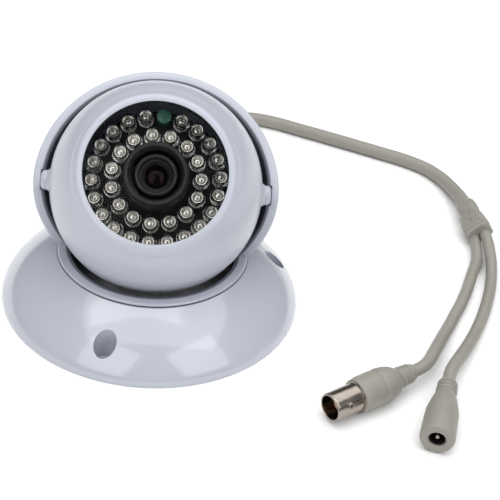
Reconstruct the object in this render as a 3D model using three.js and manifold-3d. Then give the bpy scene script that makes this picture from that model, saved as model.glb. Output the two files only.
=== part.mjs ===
// A small turret (dome) camera in millimetres, +Z up, standing on its mounting face.
// The origin is the centre of the mounting face. The front is -Y, and +X is to a viewer's right.
import * as THREE from "three";
import { mergeVertices } from "three/addons/utils/BufferGeometryUtils.js";
import Module from "manifold-3d";

const wasm = await Module();
wasm.setup();

// ---- Driving dimensions ----

const rad = THREE.MathUtils.degToRad;

// The base cover: a flared bell with three screw wells.
const RIM_R = 53; // mounting rim
const RIM_H = 1.7; // its upright edge
const SEAM_R = 33.8; // top edge, where the yoke's collar sits
const SEAM_Z = 18.5;
const WALL = 2.2; // moulded wall
const MOUTH_R = 31.5; // bore that the yoke's skirt turns in
const MOUTH_DEPTH = 3.2;
const WELL_R = 3.8;
const WELL_WALL = 1.7;
const WELL_FLOOR_Z = 1.6;
const WELL_CIRCLE_R = 45.8;
const WELL_ANGLES = [-16.5, 103.5, 223.5]; // from the front towards +X
const SCREW_HOLE_R = 2.1;

// The ball that holds the camera, and the yoke that carries it.
const BALL_R = 36.4;
const BALL_Z = 44.4; // tilt axis height
const BALL_WALL = 2.2;
const TILT = 42.5; // lens elevation at rest, degrees
const SPLIT = -6; // the front shell's rim, along the lens axis
const YOKE_R = 42.3;
const YOKE_INNER_R = 38.4;
const YOKE_SLOPE = 43; // the rim's slope up and back from the pivots, degrees
const YOKE_FRONT = -2.5; // the arms' front face, along Y
const YOKE_BEND = 9; // how far from their corner the slope and the front face run into each other
const COLLAR_INNER_R = 29.4;
const COLLAR_TOP_Z = 19.7;
const FLANGE_R = 33.2;
const GAP = 0.3;
const FLANGE_Z = [12.4, SEAM_Z - MOUTH_DEPTH - GAP];
const RETAINER_Z = [10.2, FLANGE_Z[0] - GAP];
const PIVOT_R = 3.4;
const PIVOT_TIP_R = 2.5;
const PIVOT_REACH = 39.4;
const SLOT_R = 3.7;
const SLOT_REACH = 39.8;

// The window and what is behind it, by distance along the lens axis from the ball's centre.
const OPENING_R = 23.5;
const OPENING_S = 26.9;
const RIDGE_R = 25.7;
const BEZEL_R = 27.6;
const SEAT_R = 25.1;
const WINDOW_S = [24.9, 26.3];
const SEAL_S = [23.2, 24.6];
const BOARD_S = [9.4, 11];
const BOARD_R = 24;
const LENS_HOLE_R = 9.3; // the board's hole around the lens
const LED_R = 2.5;
const LED_FLANGE_R = 2.9;
const LED_HEIGHT = 7.8;
const OUTER_RING = { radius: 21.3, places: 22 };
const INNER_RING = { radius: 14.9, places: 15 };
const RING_TURN = -3; // the board sits a little turned in the ball, degrees
const SHROUD_R = 10.8;
const LENS_R = 7.1;
const LENS_FRONT_S = 22.2;

// The cable, its splitter and its two plugs, lying on the mounting surface.
const OUTLET_ANGLE = 164;
const OUTLET_Z = 4.9;
const GROMMET_R = 4.6;
const CABLE_R = 2.8;
const LEAD_R = 2.2;
const SPLITTER = { x: 129, y: 44.4, z: 5.7, length: 22.7, width: 9.6, height: 7.4, turn: 5.6, roll: -44 };
const BNC = { x: 60.5, y: -64, z: 6.2, aim: 124.5 };
const POWER = { x: 93.6, y: -75.5, z: 5.8, aim: 164 };
const MAIN_ROUTE = [
  [9.5, 33, 4.9], [12.3, 43, 4.9], [15.2, 53, 4.9], [17, 64, 4], [16.6, 76, 3.1], [14.4, 88, 2.8],
  [12.3, 100, 2.8], [12.8, 112, 2.8], [17.6, 122.6, 2.8], [26.5, 130, 2.8], [38, 132.8, 2.8],
  [49.5, 130.3, 2.8], [60.5, 125.6, 2.8], [72, 120.6, 2.8], [84, 115.2, 2.8], [96, 109.6, 2.8],
  [106.5, 104.6, 2.8], [115.5, 98.2, 2.8], [121.2, 89.6, 3.1], [123.9, 81.6, 3.8], [125.5, 74.2, 4.8],
  [126.6, 67.5, 5.7],
];
const VIDEO_ROUTE = [
  [127.5, 43.9, 3.1], [127.3, 40.4, 2.9], [126.8, 36.2, 2.8], [125.9, 30.7, 2.5], [124, 25.1, 2.4],
  [121.9, 19.6, 2.4], [120, 14.2, 2.4], [118, 8.9, 2.4], [115.8, 3.7, 2.4], [113.5, -1.4, 2.4],
  [111, -6.4, 2.4], [108.6, -11.5, 2.5], [106.3, -16.2, 2.8], [103.9, -21.2, 3.5], [101.6, -26.2, 4.3], [99.4, -31.2, 5.2],
  [98, -34.2, 5.7], [96.6, -37.2, 6], [94.8, -39.8, 6.2], [92.6, -41.9, 6.2], [90.4, -43.4, 6.2],
];
const POWER_ROUTE = [
  [131, 44.2, 6], [131.2, 40.8, 5.9], [131.2, 37, 5.7], [131, 32.6, 5.1], [130.8, 28.3, 4.5],
  [130.4, 24.2, 3.5],
  [129.7, 19.9, 2.8], [128.6, 15, 2.5], [127.2, 9.9, 2.4], [125.5, 4.8, 2.4], [123.7, -0.3, 2.4],
  [121.8, -5.3, 2.4], [119.6, -10.4, 2.5], [117.2, -15.6, 2.8], [114.5, -21.1, 3.4], [111.6, -26.8, 4.2],
  [108.4, -32.6, 5], [105.8, -37.2, 5.6], [104.2, -40.2, 5.8], [102.9, -43.4, 5.8], [101.9, -46.6, 5.8],
];

// ---- Materials ----

const finish = (color, roughness, metalness = 0) =>
  new THREE.MeshStandardMaterial({ color, roughness, metalness });
const HOUSING = finish(0xc4c9d8, 0.35);
const BLACK = finish(0x14151c, 0.6);
const GLASS = new THREE.MeshStandardMaterial({
  color: 0xffffff, roughness: 0.05, transparent: true, opacity: 0.15,
});
const BOARD = finish(0x0d0f0d, 0.7);
const LED = finish(0xb8b8b0, 0.1);
const PHOTOCELL = finish(0x2e7a5a, 0.5);
const LENS_GLASS = finish(0x14101a, 0.05);
const CABLE = finish(0x9c988e, 0.6);
const NICKEL = finish(0xb9b2aa, 0.25, 1);
const INSULATOR = finish(0xb98a6a, 0.6);
const RUBBER = finish(0x24242a, 0.8);

// ---- Helpers ----

// A closed geometry as a solid for joining and cutting.
function solid(geometry) {
  const bare = geometry.clone();
  bare.deleteAttribute("normal");
  bare.deleteAttribute("uv");
  const merged = mergeVertices(bare, 1e-4);
  return new wasm.Manifold(
    new wasm.Mesh({
      numProp: 3,
      vertProperties: merged.attributes.position.array,
      triVerts: new Uint32Array(merged.index.array),
    }),
  );
}

function mesh(name, shape, material) {
  let geometry = shape;
  if (!shape.isBufferGeometry) {
    const made = shape.getMesh();
    geometry = new THREE.BufferGeometry();
    geometry.setAttribute("position", new THREE.BufferAttribute(made.vertProperties, 3));
    geometry.setIndex(new THREE.BufferAttribute(made.triVerts, 1));
    geometry.computeVertexNormals();
  }
  const piece = new THREE.Mesh(geometry, material);
  piece.name = name;
  return piece;
}

// A body turned about Z from a profile of [radius, height] points, which closes on itself.
function turned(profile, sides = 48) {
  const points = profile.map(([r, z]) => new THREE.Vector2(r, z));
  if (THREE.ShapeUtils.area(points) < 0) points.reverse();
  if (points[0].x > 0) points.push(points[0].clone());
  return new THREE.LatheGeometry(points, sides).rotateX(Math.PI / 2);
}

// Points of a circle about the axis's origin, by angle above the horizontal in degrees.
function arc(radius, from, to, steps, centreZ = 0) {
  return Array.from({ length: steps + 1 }, (_, i) => {
    const a = rad(from + ((to - from) * i) / steps);
    return [radius * Math.cos(a), centreZ + radius * Math.sin(a)];
  });
}

const ring = (inner, outer, low, high, sides) =>
  turned([[inner, low], [outer, low], [outer, high], [inner, high]], sides);

const disc = (radius, low, high, sides) =>
  turned([[0, low], [radius, low], [radius, high], [0, high]], sides);

const box = (low, high) =>
  new THREE.BoxGeometry(...high.map((v, i) => v - low[i])).translate(
    ...high.map((v, i) => (v + low[i]) / 2),
  );

// A round tube along a smooth curve through the points.
function tube(route, radius, stepLength, sides) {
  const points = route.map((p) => new THREE.Vector3(...p));
  const curve = new THREE.CatmullRomCurve3(points, false, "centripetal");
  const section = new THREE.Shape(
    Array.from({ length: sides }, (_, i) => {
      const a = (2 * Math.PI * i) / sides;
      return new THREE.Vector2(radius * Math.cos(a), radius * Math.sin(a));
    }),
  );
  return new THREE.ExtrudeGeometry(section, {
    steps: Math.ceil(curve.getLength() / stepLength),
    extrudePath: curve,
    bevelEnabled: false,
  });
}

// The place at an angle from the front towards +X, on a circle about Z.
const around = (angle, radius) => [radius * Math.sin(rad(angle)), -radius * Math.cos(rad(angle))];

// The elevation angle, in degrees, at which a sphere passes the given height above its centre.
const latitude = (radius, height) => THREE.MathUtils.radToDeg(Math.asin(height / radius));

// ---- Base ----

function baseCover() {
  const bell = new THREE.CubicBezierCurve(
    new THREE.Vector2(RIM_R, RIM_H),
    new THREE.Vector2(50, 9),
    new THREE.Vector2(39.5, 15),
    new THREE.Vector2(SEAM_R, SEAM_Z),
  );
  const steps = 6;
  const outer = bell.getPoints(steps).map((p) => [p.x, p.y]);
  const inner = outer.map(([r, z], i) => {
    const along = bell.getTangent(i / steps);
    return [r - WALL * along.y, z + WALL * along.x];
  });
  const profile = [
    [RIM_R - WALL, 0],
    [RIM_R, 0],
    ...outer,
    [MOUTH_R, SEAM_Z],
    [MOUTH_R, SEAM_Z - MOUTH_DEPTH],
    ...inner.slice(1, -1).reverse(),
  ];
  let cover = solid(turned(profile, 60));
  const skin = solid(turned([[0, 0], [RIM_R, 0], ...outer, [0, SEAM_Z]], 60));
  for (const angle of WELL_ANGLES) {
    const [x, y] = around(angle, WELL_CIRCLE_R);
    const post = solid(disc(WELL_R + WELL_WALL, 0, SEAM_Z, 16).translate(x, y, 0)).intersect(skin);
    const well = solid(disc(WELL_R, WELL_FLOOR_Z, SEAM_Z + 1, 20).translate(x, y, 0));
    const hole = solid(disc(SCREW_HOLE_R, -1, WELL_FLOOR_Z + 1, 12).translate(x, y, 0));
    cover = cover.add(post).subtract(well).subtract(hole);
  }
  return cover.subtract(outletNotch());
}

// An arch through the rim, open below, that takes the grommet.
function outletNotch() {
  const r = GROMMET_R + GAP;
  const arch = disc(r, 43, RIM_R + 2, 24).rotateX(Math.PI / 2).translate(0, 0, OUTLET_Z);
  const legs = box([-r, -RIM_R - 2, -1], [r, -43, OUTLET_Z]);
  return solid(arch)
    .add(solid(legs))
    .rotate([0, 0, OUTLET_ANGLE]);
}

// The ring under the cover that holds the yoke's flange up, with an ear for each of its screws.
function retainingRing() {
  let retainer = solid(ring(COLLAR_INNER_R, 35.2, ...RETAINER_Z, 48));
  for (const angle of [44, 164, 284]) {
    const [x, y] = around(angle, 35.4);
    retainer = retainer.add(solid(disc(2.6, ...RETAINER_Z, 16).translate(x, y, 0)));
  }
  return retainer;
}

function cableGrommet() {
  const sleeve = [
    [CABLE_R + GAP, 46], [GROMMET_R, 46], [GROMMET_R, 53.2], [GROMMET_R - 0.5, 54.2],
    [CABLE_R + GAP, 54.2],
  ];
  return turned(sleeve, 20)
    .rotateX(Math.PI / 2)
    .translate(0, 0, OUTLET_Z)
    .rotateZ(rad(OUTLET_ANGLE));
}

// ---- Yoke ----

// The side view of the yoke's cup, as a slab along X: an upright front face, then a rim that rises
// backwards through the pivots, with a soft corner between them.
function yokeSide() {
  const slope = Math.tan(rad(YOKE_SLOPE));
  const corner = YOKE_FRONT * slope;
  const reach = 60;
  const side = new THREE.Shape();
  side.moveTo(YOKE_FRONT, -reach);
  side.lineTo(YOKE_FRONT, corner - YOKE_BEND);
  side.quadraticCurveTo(
    YOKE_FRONT,
    corner,
    YOKE_FRONT + YOKE_BEND * Math.cos(rad(YOKE_SLOPE)),
    corner + YOKE_BEND * Math.sin(rad(YOKE_SLOPE)),
  );
  side.lineTo(reach, reach * slope);
  side.lineTo(reach, -reach);
  return new THREE.ExtrudeGeometry(side, { depth: 2 * reach, curveSegments: 5, bevelEnabled: false })
    .translate(0, 0, -reach)
    .rotateY(Math.PI / 2)
    .rotateX(Math.PI / 2)
    .translate(0, 0, BALL_Z);
}

// A collar with a skirt and flange that turn in the base, and a spherical cup around the ball's back.
function yoke() {
  const collar = solid(
    turned([
      [COLLAR_INNER_R, FLANGE_Z[0]], [FLANGE_R, FLANGE_Z[0]], [FLANGE_R, FLANGE_Z[1]],
      [MOUTH_R - GAP, FLANGE_Z[1]], [MOUTH_R - GAP, SEAM_Z + GAP], [SEAM_R, SEAM_Z + GAP],
      [SEAM_R - 0.4, COLLAR_TOP_Z], [COLLAR_INNER_R, COLLAR_TOP_Z],
    ]),
  );
  const low = SEAM_Z + GAP - BALL_Z;
  const cup = solid(
    turned([
      ...arc(YOKE_R, latitude(YOKE_R, low), 60, 11, BALL_Z),
      ...arc(YOKE_INNER_R, 60, latitude(YOKE_INNER_R, low), 11, BALL_Z),
    ], 48),
  );
  let shape = cup.intersect(solid(yokeSide())).add(collar);
  for (const side of [-1, 1]) {
    const round = disc(SLOT_R, 36, SLOT_REACH, 24).rotateY(Math.PI / 2);
    const open = box([36, -8, -SLOT_R], [SLOT_REACH, 0, SLOT_R]);
    let slot = solid(round).add(solid(open));
    if (side < 0) slot = slot.mirror([1, 0, 0]);
    shape = shape.subtract(slot.translate([0, 0, BALL_Z]));
  }
  return shape;
}

// ---- Ball: everything below is made about its own axis, +Z through the lens ----

function frontShell() {
  const innerR = BALL_R - BALL_WALL;
  const bezelAngle = THREE.MathUtils.radToDeg(Math.acos(BEZEL_R / BALL_R));
  const shell = solid(
    turned([
      ...arc(BALL_R, latitude(BALL_R, SPLIT), bezelAngle, 7),
      [BEZEL_R - 0.5, 24.7], [RIDGE_R, 26.5], [RIDGE_R - 0.8, OPENING_S], [OPENING_R, OPENING_S],
      [OPENING_R, WINDOW_S[1] + GAP], [SEAT_R, WINDOW_S[1] + GAP], [SEAT_R, 23.1],
      ...arc(innerR, latitude(innerR, 22.6), latitude(innerR, SPLIT), 5),
    ], 44),
  );
  const pivot = [
    [0, 35.2], [PIVOT_R, 35.2], [PIVOT_R, 38.1], [PIVOT_R - 0.4, 38.9], [PIVOT_TIP_R, PIVOT_REACH],
    [0, PIVOT_REACH],
  ];
  return shell
    .add(solid(turned(pivot, 20).rotateY(Math.PI / 2)))
    .add(solid(turned(pivot, 20).rotateY(-Math.PI / 2)));
}

// The back of the ball, with a register inside the front shell and a hole for the cable.
function rearShell() {
  const outerR = BALL_R - 0.6;
  const innerR = outerR - 1.9;
  const registerR = BALL_R - BALL_WALL - GAP;
  const holeAngle = -72;
  return turned([
    ...arc(outerR, holeAngle, latitude(outerR, SPLIT - GAP), 6),
    [registerR - 0.6, SPLIT - GAP], [registerR - 0.7, SPLIT + 3], [registerR - 2, SPLIT + 3],
    ...arc(innerR, latitude(innerR, SPLIT - 1), holeAngle, 5),
  ], 36);
}

const ledBoard = () => ring(LENS_HOLE_R, BOARD_R, ...BOARD_S, 36);

function irLed() {
  const low = BOARD_S[1] + GAP;
  const dome = low + LED_HEIGHT - LED_R;
  return turned([
    [0, low], [LED_FLANGE_R, low], [LED_FLANGE_R, low + 1], [LED_R, low + 1],
    ...arc(LED_R, 0, 90, 2, dome),
  ], 8);
}

function photocell() {
  const low = BOARD_S[1] + GAP;
  return disc(2.5, low, low + 4.6, 16);
}

function lensShroud() {
  const low = BOARD_S[1] + GAP;
  return turned([
    [9.4, low], [SHROUD_R, low], [SHROUD_R, 23.6], [SHROUD_R - 0.6, 24.4], [9.2, 24.4], [8.2, 22.6],
    [8.2, 21.4], [9.4, 20.4],
  ], 28);
}

function lensHolder() {
  const plate = solid(box([-9, -9, -4], [9, 9, -2.2]));
  const bore = solid(disc(6.35, -1.2, 12, 28));
  const window = solid(disc(4.5, -5, 0, 20));
  return solid(disc(8.7, -3, 10.4, 28)).add(plate).subtract(bore).subtract(window);
}

function lensBarrel() {
  return turned([
    [3.9, 1], [6, 1], [6, 11.2], [LENS_R, 11.2], [LENS_R, LENS_FRONT_S - 0.4],
    [LENS_R - 0.4, LENS_FRONT_S], [5.9, LENS_FRONT_S], [4, 19.6], [3.9, 17.6],
  ], 24);
}

function lensGlass() {
  return turned([[0, 14.6], [3.5, 14.6], [3.5, 17.4], [2.6, 18.1], [1.4, 18.5], [0, 18.6]], 20);
}

const sensorBoard = () => box([-13, -13, SPLIT - 0.1], [13, 13, -4.6]);

// ---- Cable ----

// A two-lobed moulding that lies rolled on its edge: one cable in at its neck, two leads out at its
// wide end.
function cableSplitter() {
  const { x, y, z, length, width, height, turn, roll } = SPLITTER;
  const half = width / 2;
  const edge = 1;
  const plan = new THREE.Shape();
  plan.moveTo(-half + 0.6, 0);
  plan.lineTo(half - 0.6, 0);
  plan.bezierCurveTo(half + 0.4, 4, half + 0.2, 9, half - 1.2, 14);
  plan.bezierCurveTo(half - 0.2, 16, half - 0.4, 19, half - 1.3, length);
  plan.lineTo(-half + 1.3, length);
  plan.bezierCurveTo(-half + 0.4, 19, -half + 0.2, 16, -half + 1.2, 14);
  plan.bezierCurveTo(-half - 0.2, 9, -half - 0.4, 4, -half + 0.6, 0);
  return new THREE.ExtrudeGeometry(plan, {
    depth: height - 2 * edge,
    curveSegments: 4,
    bevelThickness: edge,
    bevelSize: edge,
    bevelOffset: -edge,
    bevelSegments: 2,
  })
    .translate(0, 0, edge - height / 2)
    .rotateY(rad(roll))
    .rotateZ(rad(turn))
    .translate(x, y, z);
}

// The plugs are made about +Z, from the open front at 0 back towards the cable.
function bncBarrel() {
  const tube = [
    [4.1, 0], [4.6, 0], [4.8, 0.3], [4.8, 12.4], [5.1, 12.6], [5.1, 13.2], [4.1, 13.2], [4.1, 9.6],
  ];
  let barrel = solid(turned(tube, 24)).add(solid(disc(4.5, 11, 13.2, 24)));
  for (const turn of [152, -28]) {
    const lug = disc(1.2, 4.4, 5.7, 12).rotateY(Math.PI / 2).translate(0, 0, 4.8);
    barrel = barrel.add(solid(lug.rotateZ(rad(turn))));
  }
  return barrel;
}

const bncInsulator = () =>
  turned([[0.7, 3], [1.7, 3], [1.7, 10.7], [0, 10.7], [0, 8], [0.7, 8]], 16);

function bncBoot() {
  return turned([
    [0, 13.5], [5.4, 13.5], [5.4, 10.9], [5.7, 10.9], [6.1, 13.2], [6.1, 19.4], [5.9, 19.8],
    [6.2, 20.6], [6.1, 24.4], [5.3, 26.6], [3.9, 28.2], [3.3, 29.2], [3.1, 35.8], [0, 35.8],
  ], 24);
}

function powerSocketBoot() {
  return turned([
    [2.75, 0], [5.3, 0], [5.7, 0.6], [5.7, 13.4], [5.4, 13.8], [4.9, 17.8], [3.7, 21.6], [3.2, 23],
    [3.1, 29.4], [0, 29.4], [0, 9.8], [2.75, 9.8],
  ], 24);
}

const powerSocketPin = () => turned([[0, 1.2], [0.6, 1.2], [1.05, 1.8], [1.05, 9.5], [0, 9.5]], 12);

// ---- Assembly ----

const camera = new THREE.Group();

camera.add(
  mesh("base_cover", baseCover(), HOUSING),
  mesh("retaining_ring", retainingRing(), BLACK),
  mesh("cable_grommet", cableGrommet(), RUBBER),
  mesh("yoke", yoke(), HOUSING),
);

const ball = new THREE.Group();
ball.position.z = BALL_Z;
ball.rotation.x = rad(90 - TILT);
ball.add(
  mesh("front_shell", frontShell(), HOUSING),
  mesh("rear_shell", rearShell(), HOUSING),
  mesh("front_window", disc(SEAT_R - GAP, ...WINDOW_S, 36), GLASS),
  mesh("window_seal", ring(OPENING_R, SEAT_R - GAP, ...SEAL_S, 36), RUBBER),
  mesh("sensor_board", sensorBoard(), BOARD),
  mesh("lens_holder", lensHolder(), BLACK),
  mesh("lens_barrel", lensBarrel(), BLACK),
  mesh("lens_glass", lensGlass(), LENS_GLASS),
);
camera.add(ball);

// The board and what stands on it share the board's small turn about the lens axis.
const lamp = new THREE.Group();
lamp.rotation.z = rad(RING_TURN);
lamp.add(mesh("led_board", ledBoard(), BOARD), mesh("lens_shroud", lensShroud(), BLACK));
const eye = mesh("photocell", photocell(), PHOTOCELL);
eye.position.y = OUTER_RING.radius;
lamp.add(eye);
ball.add(lamp);

// The outer ring starts one place after the photocell, which takes its top place. The inner ring
// has no LED at the top.
let count = 0;
function addLed(radius, degrees) {
  count += 1;
  const led = mesh("ir_led_" + String(count).padStart(2, "0"), irLed(), LED);
  led.position.set(radius * Math.cos(rad(degrees)), radius * Math.sin(rad(degrees)), 0);
  lamp.add(led);
}
for (let i = 1; i < OUTER_RING.places; i++) {
  addLed(OUTER_RING.radius, 90 + (360 * i) / OUTER_RING.places);
}
for (let i = 0; i < INNER_RING.places; i++) {
  addLed(INNER_RING.radius, 90 + (360 * (i + 0.5)) / INNER_RING.places);
}

camera.add(
  mesh("main_cable", tube(MAIN_ROUTE, CABLE_R, 6, 12), CABLE),
  mesh("cable_splitter", cableSplitter(), CABLE),
  mesh("video_lead", tube(VIDEO_ROUTE, LEAD_R, 4, 12), CABLE),
  mesh("power_lead", tube(POWER_ROUTE, LEAD_R, 4, 12), CABLE),
);

// A plug lies flat with its front at (x, y, z) and its cable end towards the aim, an angle
// from the front towards +X.
function plug({ x, y, z, aim }, pieces) {
  const group = new THREE.Group();
  group.position.set(x, y, z);
  group.rotation.order = "ZXY";
  group.rotation.z = rad(aim);
  group.rotation.x = Math.PI / 2;
  group.add(...pieces);
  camera.add(group);
}
plug(BNC, [
  mesh("bnc_boot", bncBoot(), CABLE),
  mesh("bnc_barrel", bncBarrel(), NICKEL),
  mesh("bnc_insulator", bncInsulator(), INSULATOR),
]);
plug(POWER, [
  mesh("power_socket_boot", powerSocketBoot(), CABLE),
  mesh("power_socket_pin", powerSocketPin(), NICKEL),
]);

export default camera;
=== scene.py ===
# %% [markdown]
# # A turret camera, looked after piece by piece
#
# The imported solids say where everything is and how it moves. This lesson puts the looks on them:
# glossy moulded shells, clear LEDs over a black board, a coated lens, a grey cable and its plugs.
# Lengths are in millimetres until a mesh is made, because that is how the parts are drawn.

# %% The frame that everything is built around
import math
import random

import bmesh
import bpy
from mathutils import Matrix, Vector


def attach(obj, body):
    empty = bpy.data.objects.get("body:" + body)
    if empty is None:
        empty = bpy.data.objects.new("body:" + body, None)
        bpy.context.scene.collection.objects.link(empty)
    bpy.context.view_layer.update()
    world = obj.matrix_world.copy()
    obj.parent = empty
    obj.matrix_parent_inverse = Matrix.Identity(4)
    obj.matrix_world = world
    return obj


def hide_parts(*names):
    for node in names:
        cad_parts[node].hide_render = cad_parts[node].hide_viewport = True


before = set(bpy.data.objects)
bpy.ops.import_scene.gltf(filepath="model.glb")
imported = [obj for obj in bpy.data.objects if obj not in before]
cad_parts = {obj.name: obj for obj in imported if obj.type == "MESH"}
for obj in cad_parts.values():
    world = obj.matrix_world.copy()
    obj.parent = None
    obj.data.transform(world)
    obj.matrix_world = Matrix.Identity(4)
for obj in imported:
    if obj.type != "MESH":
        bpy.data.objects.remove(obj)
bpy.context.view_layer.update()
MM = 0.001
scene = bpy.context.scene

# %% [markdown]
# The real camera stands on a table, seen from a little above and from straight in front, through a
# lens that is longer than normal, so the round base hardly spreads. The camera leans a few degrees
# to one side, as a hand-held one does. The cords come straight after it, because they are the
# only parts that could leave its view.

# %% The viewer's camera
EYE = Vector((0.0086, -0.3351, 0.2530))
AIM = Vector((0.03434, 0.0, 0.02106))
ROLL = math.radians(6.39)

eye = bpy.data.objects.new("viewer", bpy.data.cameras.new("viewer"))
eye.data.lens = 82.4
eye.data.sensor_width = 36.0
eye.data.clip_end = 20.0
turn = (AIM - EYE).to_track_quat("-Z", "Y").to_matrix().to_4x4()
eye.matrix_world = Matrix.Translation(EYE) @ turn @ Matrix.Rotation(ROLL, 4, "Z")
scene.collection.objects.link(eye)
scene.camera = eye
print("camera", round((AIM - EYE).length, 3), "m from what it looks at")

# %% [markdown]
# ## Writing materials as sums
#
# A shader is a graph, but most of it is arithmetic. One small class wraps a socket, so that
# `0.2 + 0.1 * mask` adds the Math nodes itself, and one method makes any other node from its type,
# its settings and what its sockets are given. Geometry trees use the same two classes.

# %% Sockets that behave like numbers
class Wire:
    """An output socket of a node, for use in sums."""

    def __init__(self, tree, socket):
        self.tree = tree
        self.socket = socket

    def _math(self, operation, first, second):
        return self.tree.node("ShaderNodeMath", {"operation": operation}, {0: first, 1: second})

    def __add__(self, other):
        return self._math("ADD", self, other)

    def __sub__(self, other):
        return self._math("SUBTRACT", self, other)

    def __rsub__(self, other):
        return self._math("SUBTRACT", other, self)

    def __mul__(self, other):
        return self._math("MULTIPLY", self, other)

    def __pow__(self, other):
        return self._math("POWER", self, other)

    __radd__ = __add__
    __rmul__ = __mul__


class Tree:
    """A node tree, with one method that makes any node in it."""

    def __init__(self, tree):
        self.tree = tree

    def node(self, kind, settings=None, values=None, out=0):
        made = self.tree.nodes.new(kind)
        for name, setting in (settings or {}).items():
            if name == "stops":
                self._stops(made.color_ramp, setting)
            else:
                setattr(made, name, setting)
        for key, value in (values or {}).items():
            self.feed(made.inputs[key], value)
        return Wire(self, made.outputs[out]) if made.outputs else made

    def feed(self, socket, value):
        if isinstance(value, Wire):
            self.tree.links.new(value.socket, socket)
        else:
            socket.default_value = value

    def _stops(self, ramp, stops):
        while len(ramp.elements) < len(stops):
            ramp.elements.new(1.0)
        for element, (place, colour) in zip(ramp.elements, stops):
            element.position = place
            element.color = (*colour, 1.0)

    def blend(self, factor, first, second):
        """The colour between two colours."""
        colours = {0: factor, 6: first, 7: second}
        return self.node("ShaderNodeMix", {"data_type": "RGBA"}, colours, out=2)


print("sums and nodes are ready")

# %% [markdown]
# Every finish here starts the same way: a fresh material, a Principled shader, and a place to read
# the pattern from. Object coordinates are metres from the frame's origin, so a pattern keeps its
# size on each piece and moves with it.

# %% One start for every finish
class Finish(Tree):
    """A material under construction."""

    def __init__(self, name):
        self.material = bpy.data.materials.new(name)
        self.material.use_nodes = True
        super().__init__(self.material.node_tree)
        self.tree.nodes.clear()
        self.place = self.node("ShaderNodeTexCoord", out="Object")

    def noise(self, size, detail=2.0, place=None):
        """Soft mottling whose patches are about `size` millimetres across."""
        values = {"Vector": place or self.place, "Scale": 1 / (size * MM), "Detail": detail}
        return self.node("ShaderNodeTexNoise", {}, values)

    def bump(self, height, depth):
        """A surface that stands `depth` millimetres proud where height is 1."""
        return self.node("ShaderNodeBump", {}, {"Height": height, "Distance": depth * MM})

    def principled(self, values):
        return self.node("ShaderNodeBsdfPrincipled", {}, values)

    def done(self, shader):
        self.node("ShaderNodeOutputMaterial", {}, {"Surface": shader})
        return self.material


def rgba(red, green, blue):
    return (red, green, blue, 1.0)


print("finishes start from one shader")

# %% [markdown]
# ### Grey cable jacket
#
# The lead is soft PVC in a warm grey. Its sheath comes out of the die with a faint orange peel,
# and the moulded boots and the splitter have the same colour with a slightly coarser skin, so one
# finish serves them all, with the grain's size as its only choice.

# %% Cable jacket
def jacket(name, grain):
    f = Finish(name)
    patches = f.noise(9.0, 3.0)
    skin = f.noise(grain, 2.0)
    colour = f.blend(patches, rgba(0.270, 0.256, 0.224), rgba(0.335, 0.320, 0.285))
    shade = f.blend(skin * 0.35, colour, rgba(0.20, 0.188, 0.162))
    rough = 0.42 + 0.14 * patches
    values = {"Base Color": shade, "Roughness": rough, "Normal": f.bump(skin, 0.03)}
    return f.done(f.principled(values))


SHEATH = jacket("grey_cable_sheath", 0.9)
MOULDED_GREY = jacket("grey_moulded_boot", 0.6)
print("two grey finishes")

# %% [markdown]
# ## The cable
#
# The main cable comes out of a grommet low in the back of the base, rests on the table, swings
# round behind and ends in a splitter. Two thinner leads go on from there, one to a video jack and
# one to a power socket. The routes are those of the solids, but run about a millimetre further
# into what they join.

# %% The three routes, in millimetres
CABLE_R = 2.8
LEAD_R = 2.2
MAIN_ROUTE = [
    (9.5, 33, 4.9), (12.3, 43, 4.9), (15.2, 53, 4.9), (17, 64, 4), (16.6, 76, 3.1),
    (14.4, 88, 2.8), (12.3, 100, 2.8), (12.8, 112, 2.8), (17.6, 122.6, 2.8), (26.5, 130, 2.8),
    (38, 132.8, 2.8), (49.5, 130.3, 2.8), (60.5, 125.6, 2.8), (72, 120.6, 2.8), (84, 115.2, 2.8),
    (96, 109.6, 2.8), (106.5, 104.6, 2.8), (115.5, 98.2, 2.8), (121.2, 89.6, 3.1),
    (123.9, 81.6, 3.8), (125.5, 74.2, 4.8), (126.75, 66.4, 5.8),
]
VIDEO_ROUTE = [
    (127.5, 44.9, 3.1), (127.3, 40.4, 2.9), (126.8, 36.2, 2.8), (125.9, 30.7, 2.5),
    (124, 25.1, 2.4), (121.9, 19.6, 2.4), (120, 14.2, 2.4), (118, 8.9, 2.4), (115.8, 3.7, 2.4),
    (113.5, -1.4, 2.4), (111, -6.4, 2.4), (108.6, -11.5, 2.5), (106.3, -16.2, 2.8),
    (103.9, -21.2, 3.5), (101.6, -26.2, 4.3), (99.4, -31.2, 5.2), (98, -34.2, 5.7),
    (96.6, -37.2, 6), (94.8, -39.8, 6.2), (92.6, -41.9, 6.2), (89.6, -44, 6.2),
]
POWER_ROUTE = [
    (131.0, 45.2, 6.0), (131.2, 40.8, 5.9), (131.2, 37, 5.7), (131, 32.6, 5.1),
    (130.8, 28.3, 4.5), (130.4, 24.2, 3.5), (129.7, 19.9, 2.8), (128.6, 15, 2.5), (127.2, 9.9, 2.4),
    (125.5, 4.8, 2.4), (123.7, -0.3, 2.4), (121.8, -5.3, 2.4), (119.6, -10.4, 2.5),
    (117.2, -15.6, 2.8), (114.5, -21.1, 3.4), (111.6, -26.8, 4.2), (108.4, -32.6, 5),
    (105.8, -37.2, 5.6), (104.2, -40.2, 5.8), (102.9, -43.4, 5.8), (101.5, -47.8, 5.8),
]


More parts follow.
